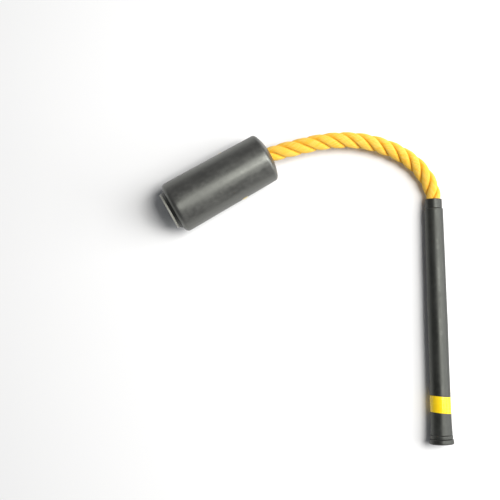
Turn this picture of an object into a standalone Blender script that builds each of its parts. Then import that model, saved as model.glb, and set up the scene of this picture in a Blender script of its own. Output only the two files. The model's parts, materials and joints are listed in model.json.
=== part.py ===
"""A rope-linked swing trainer: a padded handle, a flexible rope and a weighted barrel.

The stick lies on a floor at z = 0. The handle runs along +Y, the rope leaves its far end and
bends round to the left, and the barrel lies on its side at the rope's other end. Lengths are
in metres. The origin is the middle of the space that the handle and the barrel take up, on
the floor. Each turned piece is modelled along its own local Z and placed by its parent.
"""
import math

import bmesh
import bpy
from mathutils import Matrix, Vector

MM = 0.001
GAP = 0.3 * MM                      # clearance between pieces that touch

# ---- driving dimensions -------------------------------------------------------------------
HANDLE_LENGTH = 316 * MM            # butt face to the mouth that the rope comes out of
BUTT_CENTRE_XY = (171 * MM, -200 * MM)
BUTT_RADIUS = 15.8 * MM              # lower edge of the plug's flange
FLANGE_TOP_RADIUS = 15.1 * MM
FLANGE_ROUNDING = 1.2 * MM
BUTT_FLANGE = 6.2 * MM              # thickness of the plug's flange
KNOB_RADIUS = 14.5 * MM
KNOB_TOP = 11.2 * MM                # the knob ring ends here, measured from the butt face
GRIP_TOP = 303.5 * MM
GRIP_BORE = 10.5 * MM
BAND_START, BAND_END = 39.8 * MM, 60.8 * MM
BAND_THICKNESS = 0.45 * MM
BAND_SKEW = -0.108                  # the band is wrapped slightly crooked: rise along the handle
                                    # per unit of distance across it
CORE_RADIUS = 10.2 * MM             # tube inside the grip
CORE_BORE = 8.9 * MM
FERRULE_RADIUS = 10.95 * MM

ROPE_RADIUS = 10 * MM
TAIL_RADIUS = 8.6 * MM              # the rope is squeezed where it is held
HANDLE_TAIL = 76 * MM               # rope inside the handle
ROPE_HELD = 24 * MM                 # the visible rope goes this far into each mouth
PIN_RADIUS = 1.5 * MM
HANDLE_PIN_AT = 275 * MM

BARREL_MOUTH_XY = (-42.0 * MM, 175.2 * MM)
BARREL_HEADING = math.radians(208.7)
BARREL_LENGTH = 150 * MM            # mouth to the outer face of the end plate
BARREL_NEAR_RADIUS = 32.6 * MM      # at the end of the domed nose
BARREL_FAR_RADIUS = 34.4 * MM       # at the start of the far shoulder
NOSE_LENGTH, SHOULDER_START = 12 * MM, 137 * MM
DOME_DEPTH = 7 * MM                 # how far the dome would fall to the barrel's full radius
SHELL_END = 143.6 * MM
SHELL_WALL = 3 * MM
SHELL_HOLE = 9.9 * MM
CORE_END = 136 * MM
BARREL_BORE = 9.1 * MM
BARREL_TAIL_END = 108 * MM
POCKET_START, POCKET_RADIUS = 88 * MM, 18 * MM
BOLT_AT, BOLT_RADIUS, BOLT_HEAD_RADIUS = 56 * MM, 2.2 * MM, 4.4 * MM
MOUTH_SQUEEZE = 9.5 * MM            # the rope's radius in the barrel's mouth
PLATE_RADIUS, PLATE_THICKNESS = 24.5 * MM, 2.4 * MM

# The rope's centreline from the handle's mouth to the barrel's mouth.
ROUTE = [
    (0.1710, 0.1160, 0.0118), (0.1698, 0.1265, 0.0119), (0.1637, 0.1425, 0.0122),
    (0.1505, 0.1602, 0.0133), (0.1322, 0.1742, 0.0152), (0.1118, 0.1840, 0.0176),
    (0.0898, 0.1906, 0.0203), (0.0667, 0.1938, 0.0231), (0.0430, 0.1935, 0.0261),
    (0.0193, 0.1904, 0.0286), (-0.0040, 0.1851, 0.0306), (-0.0240, 0.1803, 0.0318),
    (-0.0420, 0.1752, 0.0324),
]
# The rope bends at five places. Each is the middle of one of these shares of its length.
SHARES = (0.0, 0.168, 0.368, 0.568, 0.784, 1.0)
CONE_ANGLES = (21, 16, 11, 10, 10)  # degrees, room for the bend at each of the five places
TIP_RADIUS = 0.4 * MM

SEGMENTS = 36


# ---- scene and materials --------------------------------------------------------------------
def clear_scene():
    for item in list(bpy.data.objects):
        bpy.data.objects.remove(item, do_unlink=True)


def material(name, colour, roughness, metallic=0.0):
    mat = bpy.data.materials.new(name)
    mat.use_nodes = True
    shader = mat.node_tree.nodes["Principled BSDF"]
    shader.inputs["Base Color"].default_value = (*colour, 1)
    shader.inputs["Roughness"].default_value = roughness
    shader.inputs["Metallic"].default_value = metallic
    mat.diffuse_color = (*colour, 1)
    return mat


def make_materials():
    return {
        "grip_rubber": material("grip_rubber", (0.020, 0.021, 0.019), 0.55),
        "black_plastic": material("black_plastic", (0.018, 0.018, 0.018), 0.40),
        "barrel_skin": material("barrel_skin", (0.042, 0.041, 0.040), 0.45),
        "barrel_foam": material("barrel_foam", (0.10, 0.10, 0.10), 0.90),
        "yellow_vinyl": material("yellow_vinyl", (0.95, 0.72, 0.02), 0.25),
        "yellow_rope": material("yellow_rope", (0.95, 0.58, 0.05), 0.60),
        "grey_plate": material("grey_plate", (0.42, 0.43, 0.41), 0.40),
        "steel": material("steel", (0.60, 0.60, 0.60), 0.30, 1.0),
        "plated_steel": material("plated_steel", (0.80, 0.72, 0.35), 0.30, 1.0),
        "tape": material("tape", (0.75, 0.74, 0.70), 0.50),
    }


# ---- placing ----------------------------------------------------------------------------------
def handle_drop():
    """How far the handle's axis falls per metre, from the flange's edge to the grip's end."""
    tip_at = GRIP_TOP - 2 * MM
    return (BUTT_RADIUS - grip_radius(tip_at)) / (tip_at - FLANGE_ROUNDING)


def barrel_rise():
    """How far the barrel's axis climbs per metre, so that its cone lies on the floor."""
    return (BARREL_FAR_RADIUS - BARREL_NEAR_RADIUS) / (SHOULDER_START - NOSE_LENGTH)


def frame_along(origin, direction):
    """A matrix whose local Z runs along direction, with local Y as near to down as it goes."""
    z_axis = Vector(direction).normalized()
    x_axis = Vector((0, 0, -1)).cross(z_axis).normalized()
    y_axis = z_axis.cross(x_axis)
    turn = Matrix((x_axis, y_axis, z_axis)).transposed().to_4x4()
    return Matrix.Translation(origin) @ turn


def handle_frame():
    direction = Vector((0, 1, -handle_drop()))
    return frame_along(Vector((*BUTT_CENTRE_XY, BUTT_RADIUS)), direction)


def barrel_frame():
    flat = Vector((math.cos(BARREL_HEADING), math.sin(BARREL_HEADING), 0))
    height = BARREL_NEAR_RADIUS - NOSE_LENGTH * barrel_rise()
    direction = flat + Vector((0, 0, barrel_rise()))
    return frame_along(Vector((*BARREL_MOUTH_XY, height)), direction)


def empty_at(name, matrix):
    holder = bpy.data.objects.new(name, None)
    holder.empty_display_size = 0.02
    holder.matrix_world = matrix
    bpy.context.scene.collection.objects.link(holder)
    return holder


def add_object(name, data, mat, parent):
    item = bpy.data.objects.new(name, data)
    bpy.context.scene.collection.objects.link(item)
    data.materials.append(mat)
    item.parent = parent
    return item


# ---- turned pieces ------------------------------------------------------------------------------
def arc(centre, radius, start, end, steps):
    """Points of a round stretch in the (radius, z) half plane, angles in degrees."""
    points = []
    for i in range(steps + 1):
        angle = math.radians(start + (end - start) * i / steps)
        points.append((centre[0] + radius * math.cos(angle), centre[1] + radius * math.sin(angle)))
    return points


def turned(name, profile, mat, parent, segments=SEGMENTS, skewed=None):
    """A solid of revolution about local Z. Profile points are (radius, z), in a closed loop.

    What lies between the two distances in skewed is set slightly crooked, as the band is.
    """
    mesh = bpy.data.meshes.new(name)
    shape = bmesh.new()
    points = [shape.verts.new((r, 0, z)) for r, z in profile]
    lines = [shape.edges.new((a, b)) for a, b in zip(points, points[1:])]
    if profile[0][0] > 0 or profile[-1][0] > 0:
        lines.append(shape.edges.new((points[-1], points[0])))
    bmesh.ops.spin(shape, geom=points + lines, angle=2 * math.pi, steps=segments,
                   axis=(0, 0, 1), cent=(0, 0, 0), use_merge=True)
    bmesh.ops.remove_doubles(shape, verts=shape.verts, dist=0.001 * MM)
    if skewed is not None:
        for vert in shape.verts:
            if skewed[0] <= vert.co.z <= skewed[1]:
                vert.co.z += BAND_SKEW * vert.co.x
    bmesh.ops.recalc_face_normals(shape, faces=shape.faces)
    shape.to_mesh(mesh)
    shape.free()
    mesh.shade_smooth()
    mesh.set_sharp_from_angle(angle=math.radians(35))
    return add_object(name, mesh, mat, parent)


def tube_profile(inner, outer, start, end, bevel=0.4 * MM):
    """A plain tube with small bevels on its outer edges."""
    return [(inner, start), (outer - bevel, start), (outer, start + bevel),
            (outer, end - bevel), (outer - bevel, end), (inner, end)]


def rod_profile(radius, start, end, bevel=0.3 * MM):
    return [(0, start), (radius - bevel, start), (radius, start + bevel),
            (radius, end - bevel), (radius - bevel, end), (0, end)]


def cross_cutter(name, parent, at, radius, reach):
    """A round bar across a piece's axis, along local X, used only to cut a hole."""
    mesh = bpy.data.meshes.new(name)
    shape = bmesh.new()
    bmesh.ops.create_cone(shape, cap_ends=True, segments=24, radius1=radius, radius2=radius,
                          depth=2 * reach)
    turn = Matrix.Translation((0, 0, at)) @ Matrix.Rotation(math.radians(90), 4, "Y")
    bmesh.ops.transform(shape, matrix=turn, verts=shape.verts)
    shape.to_mesh(mesh)
    shape.free()
    cutter = bpy.data.objects.new(name, mesh)
    bpy.context.scene.collection.objects.link(cutter)
    cutter.parent = parent
    cutter.hide_render = True
    cutter.display_type = "WIRE"
    return cutter


def cut(item, cutter):
    hole = item.modifiers.new("cross_hole", "BOOLEAN")
    hole.operation = "DIFFERENCE"
    hole.solver = "EXACT"
    hole.object = cutter


# ---- handle ---------------------------------------------------------------------------------------
GRIP_OUTLINE = [                    # distance from the butt face, radius
    (KNOB_TOP + GAP, 14.2 * MM), (14 * MM, 14.0 * MM), (19 * MM, 13.75 * MM),
    (26 * MM, 13.5 * MM), (34 * MM, 13.35 * MM), (72 * MM, 13.0 * MM), (112 * MM, 12.85 * MM),
    (156 * MM, 12.95 * MM), (200 * MM, 12.7 * MM), (250 * MM, 12.35 * MM),
    (302.0 * MM, 12.0 * MM),
]


def grip_radius(distance):
    for (z0, r0), (z1, r1) in zip(GRIP_OUTLINE, GRIP_OUTLINE[1:]):
        if distance <= z1:
            return r0 + (r1 - r0) * max(0, distance - z0) / (z1 - z0)
    return GRIP_OUTLINE[-1][1]


def grip_profile():
    """The sleeve's section: its long outline, with a shallow seat for the band."""
    seat = BAND_THICKNESS + GAP
    outer = [(r, z) for z, r in GRIP_OUTLINE if z < BAND_START - GAP]
    outer += [(grip_radius(BAND_START - GAP), BAND_START - GAP),
              (grip_radius(BAND_START) - seat, BAND_START - GAP),
              (grip_radius(BAND_END) - seat, BAND_END + GAP),
              (grip_radius(BAND_END), BAND_END + GAP)]
    outer += [(r, z) for z, r in GRIP_OUTLINE if z > BAND_END + GAP]
    end = [(GRIP_OUTLINE[-1][1] - 0.5 * MM, GRIP_TOP), (GRIP_BORE, GRIP_TOP)]
    return [(GRIP_BORE, KNOB_TOP + GAP)] + outer + end


def make_handle(mats):
    holder = empty_at("handle_axis", handle_frame())
    edge = FLANGE_ROUNDING
    plug = ([(0, 0)] + arc((BUTT_RADIUS - edge, edge), edge, -90, 0, 3)
            + arc((FLANGE_TOP_RADIUS - 0.8 * MM, BUTT_FLANGE - 0.8 * MM), 0.8 * MM, 0, 90, 3)
            + [(TAIL_RADIUS, BUTT_FLANGE), (TAIL_RADIUS, 24 * MM), (TAIL_RADIUS - 1 * MM, 25 * MM),
               (6.4 * MM, 25 * MM), (6.4 * MM, 8 * MM), (0, 8 * MM)])
    turned("butt_plug", plug, mats["black_plastic"], holder)

    low = BUTT_FLANGE + GAP
    knob = ([(CORE_RADIUS + GAP, low)]
            + arc((KNOB_RADIUS - 0.8 * MM, low + 0.8 * MM), 0.8 * MM, -90, 0, 3)
            + arc((KNOB_RADIUS - 0.8 * MM, KNOB_TOP - 0.8 * MM), 0.8 * MM, 0, 90, 3)
            + [(CORE_RADIUS + GAP, KNOB_TOP)])
    turned("knob_ring", knob, mats["grip_rubber"], holder)

    seat_span = (BAND_START - 2 * GAP, BAND_END + 2 * GAP)
    turned("rubber_grip", grip_profile(), mats["grip_rubber"], holder, segments=48,
           skewed=seat_span)

    seat = BAND_THICKNESS
    band = [(grip_radius(BAND_START) - seat, BAND_START), (grip_radius(BAND_START), BAND_START),
            (grip_radius(BAND_END), BAND_END), (grip_radius(BAND_END) - seat, BAND_END)]
    turned("yellow_band", band, mats["yellow_vinyl"], holder, segments=48, skewed=seat_span)

    pin_cutter = cross_cutter("handle_pin_hole", holder, HANDLE_PIN_AT, PIN_RADIUS + GAP,
                              14 * MM)
    core = turned("handle_core_tube",
                  tube_profile(CORE_BORE, CORE_RADIUS, low, GRIP_TOP), mats["black_plastic"],
                  holder)
    cut(core, pin_cutter)

    start, end = GRIP_TOP + GAP, HANDLE_LENGTH
    ferrule = ([(CORE_BORE, start), (FERRULE_RADIUS - 0.5 * MM, start),
                (FERRULE_RADIUS, start + 0.5 * MM)]
               + arc((FERRULE_RADIUS - 0.8 * MM, end - 0.8 * MM), 0.8 * MM, 0, 90, 3)
               + [(CORE_BORE + 0.3 * MM, end), (CORE_BORE, end - 0.3 * MM)])
    turned("mouth_ferrule", ferrule, mats["black_plastic"], holder)

    tail_start = HANDLE_LENGTH - HANDLE_TAIL
    neck = 7.6 * MM
    tail = [(0, tail_start), (neck, tail_start), (neck, tail_start + 16 * MM),
            (TAIL_RADIUS, tail_start + 16 * MM), (TAIL_RADIUS, end - ROPE_HELD - GAP),
            (0, end - ROPE_HELD - GAP)]
    rope_tail = turned("rope_tail_handle", tail, mats["yellow_rope"], holder, segments=32)
    cut(rope_tail, pin_cutter)
    turned("tail_whipping", tube_profile(neck + GAP, TAIL_RADIUS, tail_start + 1 * MM,
                                         tail_start + 15 * MM, 0.2 * MM),
           mats["tape"], holder, segments=32)

    pin = turned("rope_pin", rod_profile(PIN_RADIUS, -10.1 * MM, 10.1 * MM), mats["steel"],
                 holder, segments=20)
    pin.location = (0, 0, HANDLE_PIN_AT)
    pin.rotation_euler = (0, math.radians(90), 0)


# ---- barrel ---------------------------------------------------------------------------------------
def cone_radius(distance):
    share = (distance - NOSE_LENGTH) / (SHOULDER_START - NOSE_LENGTH)
    return BARREL_NEAR_RADIUS + (BARREL_FAR_RADIUS - BARREL_NEAR_RADIUS) * share


def shell_profile():
    """A domed nose, a slightly conical body and a rounded shoulder, open at the far end."""
    nose = []
    for i in range(5):              # the dome, from the rope's hole outwards
        radius = SHELL_HOLE + 0.6 * MM + i * 3.6 * MM
        nose.append((radius, DOME_DEPTH * (radius / BARREL_NEAR_RADIUS) ** 2.4))
    corner = 4.5 * MM
    nose += arc((BARREL_NEAR_RADIUS - corner, NOSE_LENGTH - 2.5 * MM), corner, -60, 0, 4)
    shoulder = arc((BARREL_FAR_RADIUS - 6 * MM, SHOULDER_START), 6 * MM, 0, 84, 5)
    rim = 27.3 * MM
    inner_far = cone_radius(SHOULDER_START) - SHELL_WALL
    inner_near = cone_radius(NOSE_LENGTH) - SHELL_WALL
    return ([(SHELL_HOLE, 0.9 * MM)] + nose + [(cone_radius(75 * MM), 75 * MM)] + shoulder
            + [(rim, SHELL_END), (rim, SHELL_END - 3 * MM), (inner_far, SHOULDER_START),
               (inner_near, NOSE_LENGTH), (inner_near - 2 * MM, 10 * MM), (SHELL_HOLE, 10 * MM)])


def make_barrel(mats):
    holder = empty_at("barrel_axis", barrel_frame())
    bolt_cutter = cross_cutter("bolt_hole", holder, BOLT_AT, BOLT_RADIUS + GAP, 45 * MM)
    side = cone_radius(BOLT_AT)

    shell = turned("barrel_shell", shell_profile(), mats["barrel_skin"], holder, segments=48)
    seats = bolt_seats(holder, side)
    cut(shell, bolt_cutter)
    cut(shell, seats)

    start = 10 * MM + GAP
    near = cone_radius(NOSE_LENGTH) - SHELL_WALL - GAP
    far = cone_radius(CORE_END) - SHELL_WALL - GAP
    core = turned("barrel_core",
                  [(BARREL_BORE, start), (near - 2 * MM, start), (near, NOSE_LENGTH + GAP),
                   (far, CORE_END), (POCKET_RADIUS, CORE_END), (POCKET_RADIUS, POCKET_START),
                   (BARREL_BORE, POCKET_START)], mats["barrel_foam"], holder)
    cut(core, bolt_cutter)

    rope_tail = turned("rope_tail_barrel",
                       rod_profile(BARREL_BORE - GAP, ROPE_HELD + GAP, BARREL_TAIL_END),
                       mats["yellow_rope"], holder, segments=32)
    cut(rope_tail, bolt_cutter)

    washer_end = POCKET_START + GAP + 2.5 * MM
    turned("stopper_washer", tube_profile(BARREL_BORE, 16.5 * MM, POCKET_START + GAP, washer_end),
           mats["steel"], holder)
    turned("rope_stopper", tube_profile(BARREL_BORE, 12.5 * MM, washer_end + GAP,
                                        BARREL_TAIL_END - 1 * MM, 1 * MM),
           mats["steel"], holder, segments=32)

    make_cross_bolt(mats, holder, side)

    rim = 27.3 * MM - GAP
    plate_start = BARREL_LENGTH - PLATE_THICKNESS
    flange = plate_start - GAP
    plug = [(0, CORE_END + GAP), (rim - 2 * MM, CORE_END + GAP), (rim, CORE_END + 2 * MM),
            (rim, SHELL_END + 0.4 * MM), (rim - 2.4 * MM, flange), (0, flange)]
    turned("end_plug", plug, mats["black_plastic"], holder)
    plate = rod_profile(PLATE_RADIUS, plate_start, BARREL_LENGTH, 0.4 * MM)
    turned("end_plate", plate, mats["grey_plate"], holder)


def bolt_seats(holder, side):
    """Two flat-bottomed seats for the bolt's head and its nut, on both sides of the shell."""
    mesh = bpy.data.meshes.new("bolt_seats")
    shape = bmesh.new()
    for way in (-1, 1):
        made = bmesh.ops.create_cone(shape, cap_ends=True, segments=32, depth=6 * MM,
                                     radius1=BOLT_HEAD_RADIUS + GAP, radius2=BOLT_HEAD_RADIUS + GAP)
        place = (Matrix.Translation((way * (side - 1.2 * MM + 3 * MM), 0, BOLT_AT))
                 @ Matrix.Rotation(math.radians(90), 4, "Y"))
        bmesh.ops.transform(shape, matrix=place, verts=made["verts"])
    shape.to_mesh(mesh)
    shape.free()
    cutter = bpy.data.objects.new("bolt_seats", mesh)
    bpy.context.scene.collection.objects.link(cutter)
    cutter.parent = holder
    cutter.hide_render = True
    cutter.display_type = "WIRE"
    return cutter


def make_cross_bolt(mats, holder, side):
    """A bolt through the shell, the core and the rope, with a low round nut on its end."""
    seat = side - 1.2 * MM + GAP
    head_height = 1.5 * MM
    bolt = ([(0, -seat - head_height), (BOLT_HEAD_RADIUS - 1.2 * MM, -seat - head_height),
             (BOLT_HEAD_RADIUS, -seat - 0.5 * MM), (BOLT_HEAD_RADIUS, -seat),
             (BOLT_RADIUS, -seat), (BOLT_RADIUS, seat - 0.2 * MM), (0, seat - 0.2 * MM)])
    item = turned("cross_bolt", bolt, mats["plated_steel"], holder, segments=24)
    nut = [(0, seat + GAP), (BOLT_HEAD_RADIUS, seat + GAP), (BOLT_HEAD_RADIUS, seat + 0.7 * MM),
           (BOLT_HEAD_RADIUS - 1.2 * MM, seat + head_height), (0, seat + head_height)]
    cap = turned("bolt_nut", nut, mats["plated_steel"], holder, segments=24)
    for piece in (item, cap):
        piece.location = (0, 0, BOLT_AT)
        piece.rotation_euler = (0, math.radians(90), 0)


# ---- rope -----------------------------------------------------------------------------------------
def route_line(steps=24):
    """Points close together on a smooth curve through the route's own points."""
    handle_way = (handle_frame().to_3x3() @ Vector((0, 0, 1))) * 0.02
    barrel_way = (barrel_frame().to_3x3() @ Vector((0, 0, 1))) * 0.02
    knots = [Vector(p) for p in ROUTE]
    knots = [knots[0] - handle_way] + knots + [knots[-1] + barrel_way]
    line = []
    for a, b, c, d in zip(knots, knots[1:], knots[2:], knots[3:]):
        for i in range(steps):
            t = i / steps
            line.append(0.5 * ((2 * b) + (c - a) * t + (2 * a - 5 * b + 4 * c - d) * t ** 2
                               + (3 * b - a - 3 * c + d) * t ** 3))
    line.append(knots[-2])
    return line


def lengths_along(line):
    total = [0.0]
    for a, b in zip(line, line[1:]):
        total.append(total[-1] + (b - a).length)
    return total


def point_at(line, totals, distance):
    """The rope's centre at a distance from the handle's mouth, negative inside the handle."""
    if distance < 0:
        return line[0] + handle_frame().to_3x3() @ Vector((0, 0, distance))
    if distance > totals[-1]:
        return line[-1] + barrel_frame().to_3x3() @ Vector((0, 0, distance - totals[-1]))
    for i in range(1, len(line)):
        if totals[i] >= distance:
            share = (distance - totals[i - 1]) / (totals[i] - totals[i - 1])
            return line[i - 1].lerp(line[i], share)
    return line[-1]


def bend_places(total):
    """Distances along the rope of its five bending places."""
    return [(a + b) / 2 * total for a, b in zip(SHARES, SHARES[1:])]


def section_stations(start, end, start_cone, end_cone, spacing):
    """Distances and radii along one rope section, with a cone at each end that bends."""
    stations = []
    first, last = start, end
    if start_cone:
        reach = ROPE_RADIUS * math.tan(math.radians(start_cone))
        stations.append((start, TIP_RADIUS))
        first = start + reach
    if end_cone:
        last = end - ROPE_RADIUS * math.tan(math.radians(end_cone))
    count = max(2, math.ceil((last - first) / spacing))
    for i in range(count + 1):
        stations.append((first + (last - first) * i / count, ROPE_RADIUS))
    if end_cone:
        stations.append((end, TIP_RADIUS))
    return stations


def rope_section(name, stations, line, totals, mat, parent):
    """One stretch of rope: a curve with a round bevel and filled caps."""
    curve = bpy.data.curves.new(name, "CURVE")
    curve.dimensions = "3D"
    curve.bevel_depth = ROPE_RADIUS
    curve.bevel_resolution = 3
    curve.use_fill_caps = True
    curve.twist_mode = "Z_UP"
    spline = curve.splines.new("POLY")
    spline.points.add(len(stations) - 1)
    home = parent.matrix_world.translation
    for point, (distance, radius) in zip(spline.points, stations):
        place = point_at(line, totals, distance) - home
        point.co = (*place, 1)
        point.radius = radius / ROPE_RADIUS
    return add_object(name, curve, mat, parent)


def make_rope(mats):
    """Six sections of rope. Neighbours turn on each other at the five bending places."""
    line = route_line()
    totals = lengths_along(line)
    bends = bend_places(totals[-1])
    cones = (None,) + CONE_ANGLES + (None,)
    edges = [0.0] + bends + [totals[-1]]
    for i in range(len(edges) - 1):
        start = edges[i] + (GAP if i == 0 else GAP / 2)
        end = edges[i + 1] - (GAP / 2)
        stations = section_stations(start, end, cones[i], cones[i + 1], ROPE_RADIUS)
        pivot = point_at(line, totals, bends[max(0, i - 1)])
        holder = empty_at("rope_pivot_%d" % i, Matrix.Translation(pivot))
        if i == 0:                  # squeezed where it enters the ferrule
            stations = squeeze(stations, start, 9.3 * MM, 10 * MM, False)
            stations = [(-ROPE_HELD, TAIL_RADIUS), (0, TAIL_RADIUS)] + stations
        if i == len(edges) - 2:     # and where it enters the barrel
            stations = squeeze(stations, end, MOUTH_SQUEEZE, 10 * MM, True)
            stations += [(totals[-1] + 4 * MM, MOUTH_SQUEEZE),
                         (totals[-1] + 7 * MM, BARREL_BORE - GAP),
                         (totals[-1] + ROPE_HELD, BARREL_BORE - GAP)]
        rope_section("rope_section_%d" % (i + 1), stations, line, totals, mats["yellow_rope"],
                     holder)


def squeeze(stations, place, radius, reach, at_end):
    """The rope is thinner at place and has its full radius again after reach."""
    extra = [(place + (-1 if at_end else 1) * 0.45 * reach, None)]
    made = []
    for distance, size in sorted(stations + extra, key=lambda s: s[0]):
        share = min(1.0, abs(distance - place) / reach)
        limit = radius + (ROPE_RADIUS - radius) * share
        made.append((distance, limit if size is None else min(size, limit)))
    return made


def main():
    clear_scene()
    mats = make_materials()
    make_handle(mats)
    make_barrel(mats)
    make_rope(mats)
    bpy.context.view_layer.update()


main()
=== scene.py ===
"""The visual model of a rope-linked swing trainer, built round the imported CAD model.

Everything is in metres, in the CAD model's frame. The turned pieces are made along the axis
of the handle or of the barrel, and the rope is made of three laid strands.
"""
import json
import math

import bmesh
import bpy
import numpy as np
from mathutils import Matrix, Vector


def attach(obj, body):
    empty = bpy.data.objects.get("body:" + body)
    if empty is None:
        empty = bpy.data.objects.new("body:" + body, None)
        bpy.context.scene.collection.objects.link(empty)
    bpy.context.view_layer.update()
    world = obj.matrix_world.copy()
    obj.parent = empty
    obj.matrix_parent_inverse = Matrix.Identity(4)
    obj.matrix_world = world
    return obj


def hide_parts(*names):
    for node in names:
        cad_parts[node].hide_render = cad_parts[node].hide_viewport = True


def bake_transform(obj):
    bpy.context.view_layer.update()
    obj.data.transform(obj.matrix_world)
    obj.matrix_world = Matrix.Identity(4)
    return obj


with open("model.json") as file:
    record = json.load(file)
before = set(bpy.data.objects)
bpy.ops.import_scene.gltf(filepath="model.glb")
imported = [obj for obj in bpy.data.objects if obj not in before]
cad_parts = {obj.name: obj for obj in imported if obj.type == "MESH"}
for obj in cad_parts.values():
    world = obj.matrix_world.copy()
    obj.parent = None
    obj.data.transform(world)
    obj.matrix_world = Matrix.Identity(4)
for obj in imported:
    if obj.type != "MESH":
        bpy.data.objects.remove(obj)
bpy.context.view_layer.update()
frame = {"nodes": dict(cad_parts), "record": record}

MM = 0.001
HANDLE_LENGTH = 316 * MM            # butt face to the mouth that the rope comes out of
BARREL_LENGTH = 150 * MM            # mouth to the outer face of the end plate
FIT = 0.3 * MM                      # clearance between neighbouring pieces


# ---- camera ----------------------------------------------------------------------------------
CAMERA_AT = (-0.0717, -0.0281, 1.1831)
CAMERA_AIM = (-0.0702, 0.0546, 0.0)
CAMERA_LENS = 64.8                  # millimetres, as is the sensor's width
CAMERA_SENSOR = 36


def make_camera():
    """The camera of the photograph, almost straight above the stick."""
    data = bpy.data.cameras.new("camera")
    data.sensor_width = CAMERA_SENSOR
    data.lens = CAMERA_LENS
    camera = bpy.data.objects.new("camera", data)
    bpy.context.scene.collection.objects.link(camera)
    camera.location = CAMERA_AT
    way = Vector(CAMERA_AIM) - camera.location
    camera.rotation_euler = way.to_track_quat("-Z", "Y").to_euler()
    bpy.context.scene.camera = camera


# ---- the two axes ----------------------------------------------------------------------------
def mount(name):
    """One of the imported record's mounts."""
    return next(m for m in frame["record"]["mounts"] if m["name"] == name)


def frame_along(origin, direction):
    """A matrix whose local Z runs along direction, with local Y as near to down as it goes."""
    z_axis = Vector(direction).normalized()
    x_axis = Vector((0, 0, -1)).cross(z_axis).normalized()
    turn = Matrix((x_axis, z_axis.cross(x_axis), z_axis)).transposed().to_4x4()
    return Matrix.Translation(origin) @ turn


def handle_frame():
    """The handle's own frame: local Z from the butt to the mouth."""
    butt = mount("butt_face")
    return frame_along(Vector(butt["pos_m"]), -Vector(butt["axis"]))


def barrel_frame():
    """The barrel's own frame: local Z from the mouth to the end plate."""
    end = mount("barrel_end_face")
    way = Vector(end["axis"]).normalized()
    return frame_along(Vector(end["pos_m"]) - way * BARREL_LENGTH, way)


HANDLE = handle_frame()
BARREL = barrel_frame()


# ---- rope route ------------------------------------------------------------------------------
ROUTE = [
    (0.1710, 0.1160, 0.0118), (0.1698, 0.1265, 0.0119), (0.1637, 0.1425, 0.0122),
    (0.1505, 0.1602, 0.0133), (0.1322, 0.1742, 0.0152), (0.1118, 0.1840, 0.0176),
    (0.0898, 0.1906, 0.0203), (0.0667, 0.1938, 0.0231), (0.0430, 0.1935, 0.0261),
    (0.0193, 0.1904, 0.0286), (-0.0040, 0.1851, 0.0306), (-0.0240, 0.1803, 0.0318),
    (-0.0420, 0.1752, 0.0324),
]
SEAM_SHARES = (0.0, 0.168, 0.368, 0.568, 0.784, 1.0)
ROPE_HELD = 24 * MM                 # the rope goes this far into each mouth
LEAD = 20 * MM                      # the curve leaves each mouth straight
CURVE_STEPS = 40                    # points between two knots of the route
HELD_STEPS = 28                     # points on each straight end
SMOOTHING_PASSES = 3                # takes out the small kinks at the knots

ROPE_RADIUS = 10.4 * MM             # over the crowns of the strands
STRAND_CENTRE = 5.56 * MM           # from the rope's middle to a strand's middle
STRAND_DEEP = 4.84 * MM             # half of a strand, outwards
STRAND_WIDE = 6.5 * MM              # half of a strand, sideways, before its neighbours press it
LAY = 61.9 * MM                     # one turn of a strand
FIRST_NOTCH = 8.1 * MM              # first gap between strands on the inside of the bend
YARNS = 20                          # yarns round a strand
YARN_COLUMNS = 5                    # mesh columns across a yarn
YARN_WIDTH = 1.8 * MM
YARN_GROOVE = 0.58 * MM
YARN_TURN = 26 * MM                 # one turn of a yarn round its strand, against the lay
ROW_SPACING = 1.0 * MM
FIRST_SEED = 40                     # the random draws of the first strand's yarns
STRAND_MAP_STEP = 31                # keeps the strands' patterns apart
SWELL_LEAST, SWELL_MOST = -0.05, 0.07       # how much yarns differ in height, in millimetres
LONG_WAVE, LONG_WAVE_HEIGHT = 7.1 * MM, 0.05 * MM
SHORT_WAVE, SHORT_WAVE_HEIGHT = 3.3 * MM, 0.025 * MM
PRESS_GAP = 0.04 * MM               # half of the space left between pressed strands
PRESS_SOFTNESS = 0.45 * MM          # how softly a pressed flank starts
CROWN_FROM, CROWN_DEPTH = 6.2, 4.0  # millimetres: crown is 0 at the first, 1 that much further
# Where the mouths squeeze the rope: (distance outside the mouth, radius), in millimetres.
NEAR_SQUEEZE = ((-0.4, 8.65), (0.6, 9.15), (2.5, 9.45), (7, 9.95), (14, 10.3), (22, 10.4))
FAR_SQUEEZE = ((-8, 8.7), (-5, 9.45), (0, 9.6), (3, 9.8), (8, 10.15), (16, 10.35), (22, 10.4))


def curve_through(knots):
    """Close points on a smooth curve through all knots but the first and the last."""
    line = []
    for a, b, c, d in zip(knots, knots[1:], knots[2:], knots[3:]):
        for i in range(CURVE_STEPS):
            t = i / CURVE_STEPS
            line.append(0.5 * ((2 * b) + (c - a) * t + (2 * a - 5 * b + 4 * c - d) * t ** 2
                               + (3 * b - a - 3 * c + d) * t ** 3))
    line.append(knots[-2])
    return np.array(line)


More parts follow.
